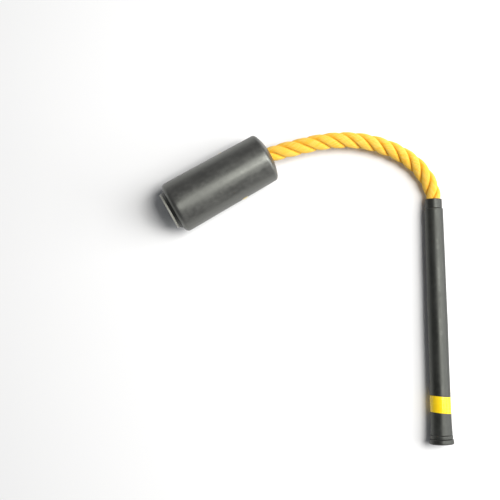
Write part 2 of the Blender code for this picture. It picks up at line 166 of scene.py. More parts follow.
def route_table():
    """Points, distances and tangents close together, from inside the handle to the barrel."""
    handle_way = np.array(HANDLE.to_3x3() @ Vector((0, 0, 1)))
    barrel_way = np.array(BARREL.to_3x3() @ Vector((0, 0, 1)))
    knots = [np.array(p) for p in ROUTE]
    line = curve_through([knots[0] - LEAD * handle_way] + knots
                         + [knots[-1] + LEAD * barrel_way])
    gaps = np.linalg.norm(np.diff(line, axis=0), axis=1)
    distance = np.concatenate([[0.0], np.cumsum(gaps)])
    inside = np.linspace(ROPE_HELD + 4 * MM, 1 * MM, HELD_STEPS)[:, None]
    line = np.concatenate([line[0] - inside * handle_way, line,
                           line[-1] + inside[::-1] * barrel_way])
    distance = np.concatenate([-inside[:, 0], distance, distance[-1] + inside[::-1, 0]])
    tangent = np.gradient(line, distance, axis=0)
    for _ in range(SMOOTHING_PASSES):
        tangent[1:-1] = (tangent[:-2] + 2 * tangent[1:-1] + tangent[2:]) / 4
    tangent /= np.linalg.norm(tangent, axis=1)[:, None]
    return line, distance, tangent, float(gaps.sum())


ROUTE_LINE, ROUTE_DISTANCE, ROUTE_TANGENT, ROPE_LENGTH = route_table()


def route_at(s):
    """Centre, left, up and forward of the rope at distances s."""
    s = np.atleast_1d(s)
    centre = np.stack([np.interp(s, ROUTE_DISTANCE, ROUTE_LINE[:, i]) for i in range(3)], -1)
    forward = np.stack([np.interp(s, ROUTE_DISTANCE, ROUTE_TANGENT[:, i]) for i in range(3)], -1)
    forward /= np.linalg.norm(forward, axis=1)[:, None]
    left = np.cross([0.0, 0.0, 1.0], forward)
    left /= np.linalg.norm(left, axis=1)[:, None]
    return centre, left, np.cross(forward, left), forward


def rope_scale(s):
    """The rope is squeezed where the two mouths hold it."""
    past = np.asarray(s) / MM
    before = (ROPE_LENGTH - np.asarray(s)) / MM
    near = np.interp(past, *zip(*NEAR_SQUEEZE))
    far = np.interp(before, *zip(*FAR_SQUEEZE))
    return np.minimum(near, far) * MM / ROPE_RADIUS


def strand_angle(s, strand):
    """Where a strand's middle lies round the rope."""
    return 2 * math.pi * ((s - FIRST_NOTCH) / LAY + (strand + 0.5) / 3)


def strand_path(start, end, strand):
    """The middle line of one strand."""
    s = np.linspace(start, end, max(12, round((end - start) / (2 * MM))))
    centre, left, up, _ = route_at(s)
    angle = strand_angle(s, strand)[:, None]
    reach = STRAND_CENTRE * rope_scale(s)[:, None]
    return centre + reach * (np.cos(angle) * left + np.sin(angle) * up)


def pressed(x, y):
    """Presses a strand's section into its third of the rope, with softly rounded corners."""
    for side in (1, -1):
        nx, ny = -math.sin(math.pi / 3), side * math.cos(math.pi / 3)
        out = x * nx + y * ny + PRESS_GAP
        soft = 0.5 * (out + np.sqrt(out ** 2 + PRESS_SOFTNESS ** 2))
        x, y = x - nx * soft, y - ny * soft
    return x, y


def strand_surface(s, strand):
    """Grid of points on a strand, rows along s, with its columns along the yarns."""
    columns = YARNS * YARN_COLUMNS
    column = np.arange(columns)
    yarn = column // YARN_COLUMNS
    across = (column % YARN_COLUMNS) / YARN_COLUMNS
    theta = 2 * math.pi * (column[None, :] / columns - s[:, None] / YARN_TURN)
    rng = np.random.default_rng(FIRST_SEED + strand)
    phase = rng.uniform(0, 2 * math.pi, (3, YARNS))[:, yarn]
    swell = rng.uniform(SWELL_LEAST, SWELL_MOST, YARNS)[yarn] * MM
    wave = (np.sin(s[:, None] / LONG_WAVE + phase[0]) * LONG_WAVE_HEIGHT
            + np.sin(s[:, None] / SHORT_WAVE + phase[1]) * SHORT_WAVE_HEIGHT)
    round_top = np.sqrt(np.clip(1 - (2 * across - 1) ** 2, 0, 1))
    ridge = -YARN_GROOVE * (1 - round_top) + (swell + wave) * round_top
    deep, wide = STRAND_DEEP + ridge, STRAND_WIDE + ridge
    x = STRAND_CENTRE + deep * np.cos(theta)
    y = wide * np.sin(theta)
    x, y = pressed(x, y)
    scale = rope_scale(s)[:, None]
    angle = strand_angle(s, strand)[:, None]
    along_left = (x * np.cos(angle) - y * np.sin(angle)) * scale
    along_up = (x * np.sin(angle) + y * np.cos(angle)) * scale
    centre, left, up, _ = route_at(s)
    points = (centre[:, None, :] + along_left[..., None] * left[:, None, :]
              + along_up[..., None] * up[:, None, :])
    crown = np.clip((np.hypot(x, y) / MM - CROWN_FROM) / CROWN_DEPTH, 0, 1)
    return points, crown


def strand_mesh(name, start, end, strand):
    """One strand between two distances along the rope, closed at both ends."""
    rows = max(8, math.ceil((end - start) / ROW_SPACING))
    step = (end - start) / rows
    longer, crown = strand_surface(np.linspace(start - step, end + step, rows + 3), strand)
    points, crown = longer[1:-1], crown[1:-1]
    s = np.linspace(start, end, rows + 1)
    count = points.shape[1]
    quads = []
    for i in range(rows):
        for c in range(count):
            d = (c + 1) % count
            quads.append((i * count + c, i * count + d, (i + 1) * count + d, (i + 1) * count + c))
    caps = [tuple(reversed(range(count))), tuple(range(rows * count, (rows + 1) * count))]
    mesh = bpy.data.meshes.new(name)
    mesh.from_pydata(points.reshape(-1, 3).tolist(), [], quads + caps)
    crowns = mesh.attributes.new("crown", "FLOAT", "POINT")
    crowns.data.foreach_set("value", crown.astype(np.float32).ravel())
    add_yarn_map(mesh, s, count, strand)
    mesh.shade_smooth()
    sharp = np.zeros(len(mesh.polygons), bool)
    sharp[-2:] = True
    mesh.attributes.new("sharp_face", "BOOLEAN", "FACE").data.foreach_set("value", sharp)
    lead_normals(mesh, longer)
    return mesh


def add_yarn_map(mesh, s, count, strand):
    """A UV map that counts yarns across and yarn widths along, for the rope's material."""
    rows = len(s) - 1
    row = np.repeat(np.arange(rows), count)
    column = np.tile(np.arange(count), rows)
    u = np.stack([column, column + 1, column + 1, column], -1).ravel() / YARN_COLUMNS
    v = s[np.stack([row, row, row + 1, row + 1], -1).ravel()] / YARN_WIDTH
    corners = np.zeros((len(mesh.loops), 2), np.float32)
    corners[:len(u), 0] = u + STRAND_MAP_STEP * strand
    corners[:len(v), 1] = v
    mesh.uv_layers.new(name="yarn_map").data.foreach_set("uv", corners.ravel())


def lead_normals(mesh, longer):
    """Normals from a grid that runs one row past both ends, so that no seam shows there."""
    along = longer[2:] - longer[:-2]
    around = (np.roll(longer, -1, 1) - np.roll(longer, 1, 1))[1:-1]
    normal = np.cross(around, along)
    normal /= np.linalg.norm(normal, axis=2)[..., None]
    side_loops = (len(mesh.polygons) - 2) * 4
    corner = np.zeros(len(mesh.loops), np.int32)
    mesh.loops.foreach_get("vertex_index", corner)
    split = np.zeros((len(mesh.loops), 3))
    split[:side_loops] = normal.reshape(-1, 3)[corner[:side_loops]]
    mesh.normals_split_custom_set(split.tolist())


def make_rope(material):
    """Five lengths of rope of three strands each, one across each of the five joints."""
    seams = [share * ROPE_LENGTH for share in SEAM_SHARES]
    for i, (start, end) in enumerate(zip(seams, seams[1:])):
        centre, _, _, forward = route_at(np.array([start, end]))
        at_barrel = end == seams[-1]
        first = start - (ROPE_HELD if i == 0 else 0)
        last = end + (ROPE_HELD if at_barrel else 0)
        for strand in range(3):
            name = "rope_%s_strand_%d" % ("ABCDE"[i], strand + 1)
            mesh = strand_mesh(name, first, last, strand)
            mesh.materials.append(material)
            piece = bpy.data.objects.new(name, mesh)
            bpy.context.scene.collection.objects.link(piece)
            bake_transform(piece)
            stands_for = ["rope_section_%d" % (i + 1)]
            if at_barrel:
                stands_for.append("rope_section_6")
            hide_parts(*stands_for)
            path = strand_path(first, last, strand)


# ---- node helpers ----------------------------------------------------------------------------
class Paint:
    """Builds one material's nodes."""

    def __init__(self, name, roughness, **sockets):
        self.material = bpy.data.materials.new(name)
        self.material.use_nodes = True
        self.tree = self.material.node_tree
        self.shader = self.tree.nodes["Principled BSDF"]
        self.shader.inputs["Roughness"].default_value = roughness
        for socket, value in sockets.items():
            self.shader.inputs[socket.replace("_", " ")].default_value = value
        self.coordinates = self.tree.nodes.new("ShaderNodeTexCoord").outputs["Object"]

    def link(self, a, b):
        self.tree.links.new(a, b)

    def node(self, kind, **values):
        made = self.tree.nodes.new(kind)
        for key, value in values.items():
            setattr(made, key, value)
        return made

    def stretched(self, scale, source=None):
        """Coordinates scaled along each axis, the object's own unless a source is given."""
        mapping = self.node("ShaderNodeMapping")
        mapping.inputs["Scale"].default_value = scale
        self.link(source or self.coordinates, mapping.inputs["Vector"])
        return mapping.outputs["Vector"]

    def noise(self, scale, detail=2.0, stretch=(1, 1, 1), source=None, roughness=0.5):
        made = self.node("ShaderNodeTexNoise")
        made.inputs["Scale"].default_value = scale
        made.inputs["Detail"].default_value = detail
        made.inputs["Roughness"].default_value = roughness
        self.link(self.stretched(stretch, source), made.inputs["Vector"])
        return made.outputs["Fac"]

    def cells(self, scale):
        """Distance to the nearest of scattered points."""
        made = self.node("ShaderNodeTexVoronoi", feature="F1")
        made.inputs["Scale"].default_value = scale
        self.link(self.stretched((1, 1, 1)), made.inputs["Vector"])
        return made.outputs["Distance"]

    def attribute(self, name):
        return self.node("ShaderNodeAttribute", attribute_name=name).outputs["Fac"]

    def spread(self, value, low, high, to_low=0.0, to_high=1.0):
        """Maps low..high to to_low..to_high, and holds the ends outside that."""
        made = self.node("ShaderNodeMapRange", clamp=True)
        for key, number in (("From Min", low), ("From Max", high), ("To Min", to_low),
                            ("To Max", to_high)):
            made.inputs[key].default_value = number
        self.link(value, made.inputs["Value"])
        return made.outputs["Result"]

    def math(self, operation, a, b):
        made = self.node("ShaderNodeMath", operation=operation)
        for socket, value in zip(made.inputs, (a, b)):
            if isinstance(value, (int, float)):
                socket.default_value = value
            else:
                self.link(value, socket)
        return made.outputs[0]

    def mix(self, share, a, b):
        """From a, where share is 0, to b, where it is 1."""
        made = self.node("ShaderNodeMix", data_type="RGBA", blend_type="MIX")
        for socket, value in ((made.inputs[0], share), (made.inputs[6], a), (made.inputs[7], b)):
            if isinstance(value, tuple):
                socket.default_value = (*value, 1)
            else:
                self.link(value, socket)
        return made.outputs[2]

    def bump(self, height, distance, strength=1.0, after=None):
        made = self.node("ShaderNodeBump")
        made.inputs["Distance"].default_value = distance
        made.inputs["Strength"].default_value = strength
        self.link(height, made.inputs["Height"])
        if after is not None:
            self.link(after, made.inputs["Normal"])
        return made.outputs["Normal"]

    def finish(self, colour, roughness=None, normal=None):
        """Links what was built to the shader and gives the material."""
        self.link(colour, self.shader.inputs["Base Color"])
        if roughness is not None:
            self.link(roughness, self.shader.inputs["Roughness"])
        if normal is not None:
            self.link(normal, self.shader.inputs["Normal"])
        return self.material


# ---- materials -------------------------------------------------------------------------------
ROPE_GOLD, ROPE_GOLD_LIGHT = (0.90, 0.54, 0.022), (0.92, 0.57, 0.026)
ROPE_PALE_YARN = (0.93, 0.65, 0.11)
ROPE_PALE_FIBRE, ROPE_DARK_FIBRE = (0.92, 0.67, 0.13), (0.84, 0.33, 0.008)
ROPE_HAIR = (0.95, 0.77, 0.30)
# painted shade: deeper orange for the grooves between yarns and the creases between strands
ROPE_GROOVE_SHADE, ROPE_CREASE_SHADE = (0.78, 0.26, 0.006), (1.0, 0.52, 0.008)


def rope_material():
    """Yellow laid rope: fibres along each yarn, and painted shade in a deeper orange between yarns
    and between strands.
    """
    paint = Paint("yellow_rope_fibres", 0.6, IOR=1.45, Sheen_Weight=0.3, Sheen_Roughness=0.45,
                  Specular_IOR_Level=0.3, Sheen_Tint=(1.0, 0.93, 0.55, 1))
    yarn_map = paint.node("ShaderNodeUVMap", uv_map="yarn_map").outputs["UV"]
    split = paint.node("ShaderNodeSeparateXYZ")
    paint.link(yarn_map, split.inputs[0])
    across = paint.math("FRACT", split.outputs[0], 0.0)
    from_middle = paint.math("ABSOLUTE", paint.math("SUBTRACT", across, 0.5), 0.0)
    groove = paint.spread(from_middle, 0.24, 0.5)
    fibres = paint.noise(1.0, 3.0, (7.0, 0.45, 1), yarn_map, 0.65)
    hairs = paint.noise(1.0, 2.0, (21.0, 0.8, 1), yarn_map, 0.6)
    patches = paint.noise(1.0, 2.0, (0.4, 0.25, 1), yarn_map)
    per_yarn = paint.noise(1.0, 1.0, (0.97, 0.06, 1), yarn_map)
    crown = paint.attribute("crown")

    colour = paint.mix(paint.spread(patches, 0.35, 0.65), ROPE_GOLD, ROPE_GOLD_LIGHT)
    colour = paint.mix(paint.spread(per_yarn, 0.42, 0.56, 0.0, 0.9), colour, ROPE_PALE_YARN)
    colour = paint.mix(paint.spread(fibres, 0.50, 0.66, 0.0, 0.6), colour, ROPE_PALE_FIBRE)
    colour = paint.mix(paint.spread(fibres, 0.46, 0.30, 0.0, 0.5), colour, ROPE_DARK_FIBRE)
    colour = paint.mix(paint.spread(hairs, 0.56, 0.70, 0.0, 0.5), colour, ROPE_HAIR)
    # painted shade: the grooves between yarns are drawn in a deeper orange
    colour = paint.mix(groove, colour, ROPE_GROOVE_SHADE)
    # painted shade: the creases between strands, where crown is low, are drawn in a deeper orange
    colour = paint.mix(paint.spread(crown, 0.8, 0.1, 0.0, 0.7), colour, ROPE_CREASE_SHADE)
    rough = paint.spread(hairs, 0.3, 0.7, 0.5, 0.72)
    lines = paint.math("ADD", fibres, paint.math("MULTIPLY", hairs, 0.6))
    return paint.finish(colour, rough, paint.bump(lines, 0.15 * MM, 0.6))


def brighter(colour, times):
    """A lighter shade of a dark colour, for dust, scuffs and worn edges."""
    return tuple(min(0.3, times * channel) for channel in colour)


def worn_dark(name, dark, light, roughness, grain, streak, specular, ior=1.5):
    """Black or charcoal rubber and plastic: grain, faint streaks along the axis, worn edges."""
    paint = Paint(name, roughness, Specular_IOR_Level=specular, IOR=ior,
                  Specular_Tint=(0.97, 1.0, 0.91, 1))
    clouds = paint.noise(38.0, 3.0, (1, 1, 0.5))
    lines = paint.noise(260.0, 2.0, (1, 1, 0.035))
    fine = paint.noise(grain, 2.0)
    pores = paint.cells(grain * 0.6)
    specks = paint.noise(900.0, 1.0)
    mottle = paint.noise(190.0, 3.0)
    wear = paint.attribute("wear")
    colour = paint.mix(paint.spread(clouds, 0.35, 0.7), dark, light)
    colour = paint.mix(paint.spread(mottle, 0.46, 0.66, 0.0, 0.3), colour,
                       brighter(light, 1.7))
    colour = paint.mix(paint.spread(lines, 0.55, 0.75, 0.0, streak), colour,
                       brighter(light, 2.2))
    colour = paint.mix(paint.spread(specks, 0.70, 0.78, 0.0, 0.25), colour,
                       brighter(light, 6))
    rubbed = paint.math("MULTIPLY", wear, paint.spread(clouds, 0.3, 0.6, 0.35, 1.0))
    colour = paint.mix(rubbed, colour, brighter(light, 3.2))
    rough = paint.math("ADD", paint.spread(clouds, 0.3, 0.7, roughness - 0.05,
                                           roughness + 0.06),
                       paint.spread(lines, 0.4, 0.7, -0.03, 0.04))
    rough = paint.math("ADD", rough, paint.spread(mottle, 0.35, 0.65, -0.04, 0.05))
    normal = paint.bump(mottle, 0.04 * MM, 0.45)
    normal = paint.bump(fine, 0.05 * MM, 0.5, normal)
    normal = paint.bump(pores, 0.03 * MM, 0.35, normal)
    return paint.finish(colour, rough, normal)


def vinyl_material():
    """Glossy yellow tape with fine stretch lines, faint creases and slightly darker edges."""
    paint = Paint("yellow_tape", 0.16, Specular_IOR_Level=0.28)
    clouds = paint.noise(60.0, 2.0)
    lines = paint.noise(300.0, 2.0, (0.25, 0.25, 2.0))
    wrinkles = paint.noise(140.0, 1.0, (1.0, 1.0, 0.3))
    wear = paint.attribute("wear")
    colour = paint.mix(paint.spread(clouds, 0.35, 0.65), (0.93, 0.61, 0.009),
                       (0.96, 0.66, 0.014))
    colour = paint.mix(paint.spread(lines, 0.5, 0.75, 0.0, 0.3), colour, (0.96, 0.76, 0.06))
    # the tape's edges, where the wear attribute is set, are drawn darker
    colour = paint.mix(paint.math("MULTIPLY", wear, 0.6), colour, (0.62, 0.38, 0.02))
    rough = paint.spread(clouds, 0.3, 0.7, 0.12, 0.21)
    normal = paint.bump(wrinkles, 0.10 * MM, 0.35)
    normal = paint.bump(lines, 0.03 * MM, 0.3, normal)
    return paint.finish(colour, rough, normal)


def plate_material():
    """Light grey satin plate with fine turning lines."""
    paint = Paint("grey_satin_plate", 0.42, Specular_IOR_Level=0.5)
    clouds = paint.noise(70.0, 3.0)
    fine = paint.noise(1500.0, 1.0)
    rings = paint.node("ShaderNodeTexWave", wave_type="RINGS", rings_direction="Z")
    rings.inputs["Scale"].default_value = 420.0
    rings.inputs["Distortion"].default_value = 0.6
    paint.link(paint.coordinates, rings.inputs["Vector"])
    wear = paint.attribute("wear")
    colour = paint.mix(paint.spread(clouds, 0.3, 0.7), (0.25, 0.25, 0.22), (0.34, 0.34, 0.29))
    colour = paint.mix(paint.math("MULTIPLY", wear, 0.5), colour, (0.66, 0.65, 0.58))
    rough = paint.spread(clouds, 0.3, 0.7, 0.36, 0.5)
    normal = paint.bump(rings.outputs["Fac"], 0.02 * MM, 0.4)
    return paint.finish(colour, rough, paint.bump(fine, 0.02 * MM, 0.3, normal))


def metal_material(name, colour, tint, roughness):
    """Bare or plated steel with fine lines and small stains."""
    paint = Paint(name, roughness, Metallic=1.0)
    clouds = paint.noise(220.0, 3.0)
    lines = paint.noise(1400.0, 1.0, (1, 0.06, 1))
    shade = paint.mix(paint.spread(clouds, 0.3, 0.7), colour, tint)
    rough = paint.spread(clouds, 0.3, 0.7, roughness - 0.06, roughness + 0.12)
    return paint.finish(shade, rough, paint.bump(lines, 0.01 * MM, 0.5))


def twine_material():
    """Whipping twine: close turns round the rope's end, with painted shade between the turns."""
    paint = Paint("whipping_twine", 0.7, Specular_IOR_Level=0.3)
    turns = paint.node("ShaderNodeTexWave", wave_type="BANDS", bands_direction="Z")
    turns.inputs["Scale"].default_value = 330.0
    paint.link(paint.coordinates, turns.inputs["Vector"])
    fine = paint.noise(1800.0, 2.0)
    # painted shade: the colour follows the bump's bands, darker in the hollows between turns
    colour = paint.mix(turns.outputs["Fac"], (0.42, 0.38, 0.29), (0.72, 0.68, 0.58))
    normal = paint.bump(turns.outputs["Fac"], 0.2 * MM, 0.7)
    return paint.finish(colour, None, paint.bump(fine, 0.05 * MM, 0.4, normal))


def hidden_rope_material():
    """The rope's held ends, which are CAD solids inside the handle and the barrel."""
    paint = Paint("held_rope", 0.6, Specular_IOR_Level=0.3)
    fibres = paint.noise(900.0, 3.0, (1, 1, 0.08))
    clouds = paint.noise(90.0, 2.0)
    colour = paint.mix(paint.spread(clouds, 0.3, 0.7), (0.80, 0.42, 0.02), (0.95, 0.62, 0.05))
    colour = paint.mix(paint.spread(fibres, 0.5, 0.7, 0.0, 0.5), colour, (0.99, 0.78, 0.14))
    return paint.finish(colour, None, paint.bump(fibres, 0.15 * MM, 0.6))


def make_materials():
    """All finishes, by the name that the pieces ask for."""
    return {
        "grip_rubber": worn_dark(
            "grip_rubber_sleeve", (0.0105, 0.011, 0.010), (0.017, 0.0175, 0.016),
            roughness=0.45, grain=1500.0, streak=0.25, specular=0.6),
        "black_plastic": worn_dark(
            "black_moulded_plastic", (0.0095, 0.0098, 0.009), (0.015, 0.015, 0.014),
            roughness=0.42, grain=2200.0, streak=0.12, specular=0.55),
        "barrel_skin": worn_dark(
            "charcoal_barrel_skin", (0.028, 0.0275, 0.026), (0.040, 0.039, 0.037),
            roughness=0.42, grain=1300.0, streak=0.15, specular=1.0, ior=1.6),
        "barrel_rubber": worn_dark(
            "barrel_filling", (0.05, 0.05, 0.05), (0.08, 0.08, 0.08),
            roughness=0.8, grain=700.0, streak=0.1, specular=0.3),
        "yellow_vinyl": vinyl_material(),
        "yellow_rope": rope_material(),
        "held_rope": hidden_rope_material(),
        "grey_plate": plate_material(),
        "steel": metal_material("bare_steel", (0.52, 0.52, 0.51), (0.66, 0.66, 0.65), 0.32),
        "plated_steel": metal_material("yellow_plated_steel", (0.62, 0.52, 0.26),
                                       (0.80, 0.70, 0.40), 0.30),
        "tape": twine_material(),
    }


# ---- turned pieces ---------------------------------------------------------------------------
ON_AXIS = 1e-7                      # a radius below this lies on the axis
SHARP_ANGLE = math.radians(40)      # edges sharper than this aren't smoothed
WORN_RADIUS = 1.6 * MM              # edges rounded less than this show wear
WORN_BEND = 1.3                     # half of the corner's angle, in radians, below which it wears


def rounded(corners, steps=6):
    """A profile of (radius, z, rounding) corners as points, with an arc at each rounding."""
    points = []
    count = len(corners)
    for i, (r, z, rounding) in enumerate(corners):
        here = Vector((r, z))
        before = Vector(corners[i - 1][:2]) if i else None
        after = Vector(corners[i + 1][:2]) if i + 1 < count else None
        if not rounding or before is None or after is None:
            points.append((r, z, 0.0))
            continue
        a = (before - here).normalized()
        b = (after - here).normalized()
        half = a.angle(b) / 2
        back = min(rounding / math.tan(half), 0.49 * (before - here).length,
                   0.49 * (after - here).length)
        radius = back * math.tan(half)
        centre = here + (a + b).normalized() * (radius / math.sin(half))
        first, last = here + a * back, here + b * back
        edge = 1.0 if radius < WORN_RADIUS and half < WORN_BEND else 0.0
        for step in range(steps + 1):
            t = step / steps
            spoke = (first - centre).lerp(last - centre, t)
            spot = centre + spoke.normalized() * radius
            points.append((spot.x, spot.y, edge * math.sin(math.pi * t)))
    return points


def filled_in(points, longest):
    """Adds points on long straight stretches, so that a fine wave can follow them."""
    made = []
    for (r0, z0, edge), (r1, z1, _) in zip(points, points[1:]):
        made.append((r0, z0, edge))
        reach = math.hypot(r1 - r0, z1 - z0)
        extra = int(reach / longest)
        for i in range(1, extra + 1):
            t = i / (extra + 1)
            made.append((r0 + (r1 - r0) * t, z0 + (z1 - z0) * t, 0.0))
    made.append(points[-1])
    return made


def turned_rows(points, segments, shape):
    """One row of vertices for each point of a profile, and how worn each vertex is.

    A point on the axis gives a row of one vertex.
    """
    vertices, wear, rows = [], [], []
    for r, z, edge in points:
        row = []
        for i in range(1 if r < ON_AXIS else segments):
            angle = 2 * math.pi * i / segments
            rr, zz = shape(r, z, angle) if shape else (r, z)
            row.append(len(vertices))
            vertices.append((rr * math.cos(angle), rr * math.sin(angle), zz))
            wear.append(edge)
        rows.append(row)
    return vertices, wear, rows


def faces_between(low, high, segments):
    """The faces between two neighbouring rows, as triangles where one is a single vertex."""
    faces = []
    for i in range(segments):
        j = (i + 1) % segments
        if len(low) == 1 and len(high) == 1:
            continue
        if len(low) == 1:
            faces.append((low[0], high[j], high[i]))
        elif len(high) == 1:
            faces.append((low[i], low[j], high[0]))
        else:
            faces.append((low[i], low[j], high[j], high[i]))
    return faces


def lathe(name, corners, matrix, segments=128, longest=3 * MM, shape=None, closed=True):
    """A smooth turned piece about local Z. shape(r, z, angle) may move each point a little.

    A profile that starts and ends on the axis makes a solid, and any other a closed ring.
    """
    points = filled_in(rounded(corners + ([corners[0]] if closed else [])), longest)
    if closed:
        points = points[:-1]
    vertices, wear, rows = turned_rows(points, segments, shape)
    faces = []
    for low, high in zip(rows, rows[1:] + ([rows[0]] if closed else [])):
        faces += faces_between(low, high, segments)
    mesh = bpy.data.meshes.new(name)
    mesh.from_pydata(vertices, [], faces)
    worn = mesh.attributes.new("wear", "FLOAT", "POINT")
    worn.data.foreach_set("value", np.array(wear, np.float32))
    fix_normals(mesh)
    mesh.shade_smooth()
    mesh.set_sharp_from_angle(angle=SHARP_ANGLE)
    piece = bpy.data.objects.new(name, mesh)
    bpy.context.scene.collection.objects.link(piece)
    piece.matrix_world = matrix
    return piece


def fix_normals(mesh):
    """Turns all faces outwards."""
    shape = bmesh.new()
    shape.from_mesh(mesh)
    bmesh.ops.recalc_face_normals(shape, faces=shape.faces)
    shape.to_mesh(mesh)
    shape.free()


def settle(piece, body, material, node):
    """Gives a finished piece its material and body, and hides the CAD node that it stands for."""
    piece.data.materials.append(material)
    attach(piece, body)
    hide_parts(node)


# ---- handle ----------------------------------------------------------------------------------
GRIP_OUTLINE = [                    # millimetres: distance from the butt face, radius
    (11.5, 14.2), (14, 14.0), (19, 13.75), (26, 13.5), (34, 13.35), (72, 13.0), (112, 12.85),
    (156, 12.95), (200, 12.7), (250, 12.35), (302, 12.0), (306, 12.0),
]
GRIP_START, GRIP_END, GRIP_BORE = 11.5 * MM, 303.5 * MM, 10.5 * MM
BAND_START, BAND_END = 39.8 * MM, 60.8 * MM
BAND_SKEW = -0.108                  # rise of the band's edges for each metre across
BAND_SEAT = 0.75 * MM               # depth of the seat in the grip
BAND_THICKNESS = 0.45 * MM
BAND_PROUD = 0.06 * MM              # the tape stands this far out of the grip
LAP_HEIGHT = 0.22 * MM              # the step of the tape's end over its start
LAP_FROM, LAP_TO = math.radians(100), math.radians(128)
LAP_RISE, LAP_FALL = 0.05, 0.5      # radians over which the step rises and runs out
BUTT_RADIUS, FLANGE_TOP_RADIUS, FLANGE_TOP = 15.8 * MM, 15.1 * MM, 6.2 * MM
DISH_RADIUS, DISH_DEPTH, DISH_SLOPE = 9.0 * MM, 0.9 * MM, 0.8 * MM
STEM_RADIUS, STEM_BORE, STEM_END, STEM_FLOOR = 8.6 * MM, 6.4 * MM, 24 * MM, 8 * MM
KNOB_RADIUS, KNOB_START, KNOB_END = 14.5 * MM, 6.5 * MM, 11.2 * MM
FERRULE_RADIUS, FERRULE_BORE = 10.95 * MM, 8.9 * MM


def grip_radius(z):
    """The sleeve's radius at a distance from the butt face."""
    distances, radii = zip(*GRIP_OUTLINE)
    return float(np.interp(z / MM, distances, radii)) * MM


def hand_wave(z, angle):
    """The sleeve isn't perfectly true: low, long waves."""
    return (0.045 * MM * math.sin(z / (17 * MM) + 1.3 * math.sin(angle))
            + 0.03 * MM * math.sin(2 * angle + z / (41 * MM)))


def skewed(z, r, angle):
    """The band and its seat lie slightly crooked on the grip."""
    inside = BAND_START - 0.6 * MM <= z <= BAND_END + 0.6 * MM
    return z + (BAND_SKEW * r * math.cos(angle) if inside else 0.0)


def outline_between(low, high, rounding):
    """The sleeve's outline corners between two distances from the butt face."""
    return [(r * MM, z * MM, rounding) for z, r in GRIP_OUTLINE if low < z * MM < high]


def make_grip(mats):
    """The rubber sleeve, with a shallow seat for the yellow band."""
    def shape(r, z, angle):
        if r > GRIP_BORE + 0.5 * MM and z > 13 * MM:
            r = r + hand_wave(z, angle)
        return r, skewed(z, r, angle)

    low, high = BAND_START - FIT, BAND_END + FIT
    corners = [(GRIP_BORE, GRIP_START, 0), (grip_radius(GRIP_START), GRIP_START, 0.7 * MM)]
    corners += outline_between(GRIP_START + 1 * MM, BAND_START, 6 * MM)
    corners += [(grip_radius(low), low, 0.18 * MM),
                (grip_radius(BAND_START) - BAND_SEAT, low, 0),
                (grip_radius(BAND_END) - BAND_SEAT, high, 0),
                (grip_radius(high), high, 0.18 * MM)]
    corners += outline_between(BAND_END, GRIP_END - 2 * MM, 60 * MM)
    corners += [(grip_radius(GRIP_END), GRIP_END, 0.9 * MM), (GRIP_BORE, GRIP_END, 0)]
    piece = lathe("grip_sleeve", corners, HANDLE, 160, 2.5 * MM, shape)
    settle(piece, "handle", mats["grip_rubber"], "rubber_grip")


def make_band(mats):
    """Yellow tape wound once round the grip, with its end lapped over its start."""
    def shape(r, z, angle):
        if r > grip_radius(z) - 0.3 * MM:
            rise = min(1.0, max(0.0, (angle - LAP_FROM) / LAP_RISE))
            fall = min(1.0, max(0.0, (LAP_TO - angle) / LAP_FALL))
            r = r + (LAP_HEIGHT * min(rise, fall) + hand_wave(z, angle))
        return r, skewed(z, r, angle)

    corners = [(grip_radius(BAND_START) - BAND_THICKNESS, BAND_START, 0),
               (grip_radius(BAND_START) + BAND_PROUD, BAND_START, 0.12 * MM),
               (grip_radius(BAND_END) + BAND_PROUD, BAND_END, 0.12 * MM),
               (grip_radius(BAND_END) - BAND_THICKNESS, BAND_END, 0)]
    piece = lathe("yellow_tape_band", corners, HANDLE, 256, 1.5 * MM, shape)
    settle(piece, "handle", mats["yellow_vinyl"], "yellow_band")


def make_butt(mats):
    """The plug's flange with a shallow dish in its face, and the ring above it."""
    flange = [(0, DISH_DEPTH, 0), (DISH_RADIUS - DISH_SLOPE, DISH_DEPTH, 0.5 * MM),
              (DISH_RADIUS, 0, 0.5 * MM), (BUTT_RADIUS, 0, 1.3 * MM),
              (FLANGE_TOP_RADIUS, FLANGE_TOP, 0.9 * MM), (STEM_RADIUS, FLANGE_TOP, 0),
              (STEM_RADIUS, STEM_END, 0.5 * MM), (STEM_BORE, STEM_END + 1 * MM, 0),
              (STEM_BORE, STEM_FLOOR, 0), (0, STEM_FLOOR, 0)]
    piece = lathe("butt_cap", flange, HANDLE, 128, 2 * MM, closed=False)
    settle(piece, "handle", mats["black_plastic"], "butt_plug")
    ring = [(GRIP_BORE, KNOB_START, 0), (KNOB_RADIUS, KNOB_START, 0.9 * MM),
            (KNOB_RADIUS, KNOB_END, 0.9 * MM), (GRIP_BORE, KNOB_END, 0)]
    piece = lathe("knob_bead", ring, HANDLE, 128, 2 * MM)
    settle(piece, "handle", mats["grip_rubber"], "knob_ring")


def make_ferrule(mats):
    """The collar at the handle's mouth."""
    start = GRIP_END + FIT
    corners = [(FERRULE_BORE, start, 0), (FERRULE_RADIUS, start, 0.5 * MM),
               (FERRULE_RADIUS, HANDLE_LENGTH, 0.9 * MM), (FERRULE_BORE, HANDLE_LENGTH, 0.35 * MM)]
    piece = lathe("mouth_collar", corners, HANDLE, 128, 2 * MM)
    settle(piece, "handle", mats["black_plastic"], "mouth_ferrule")


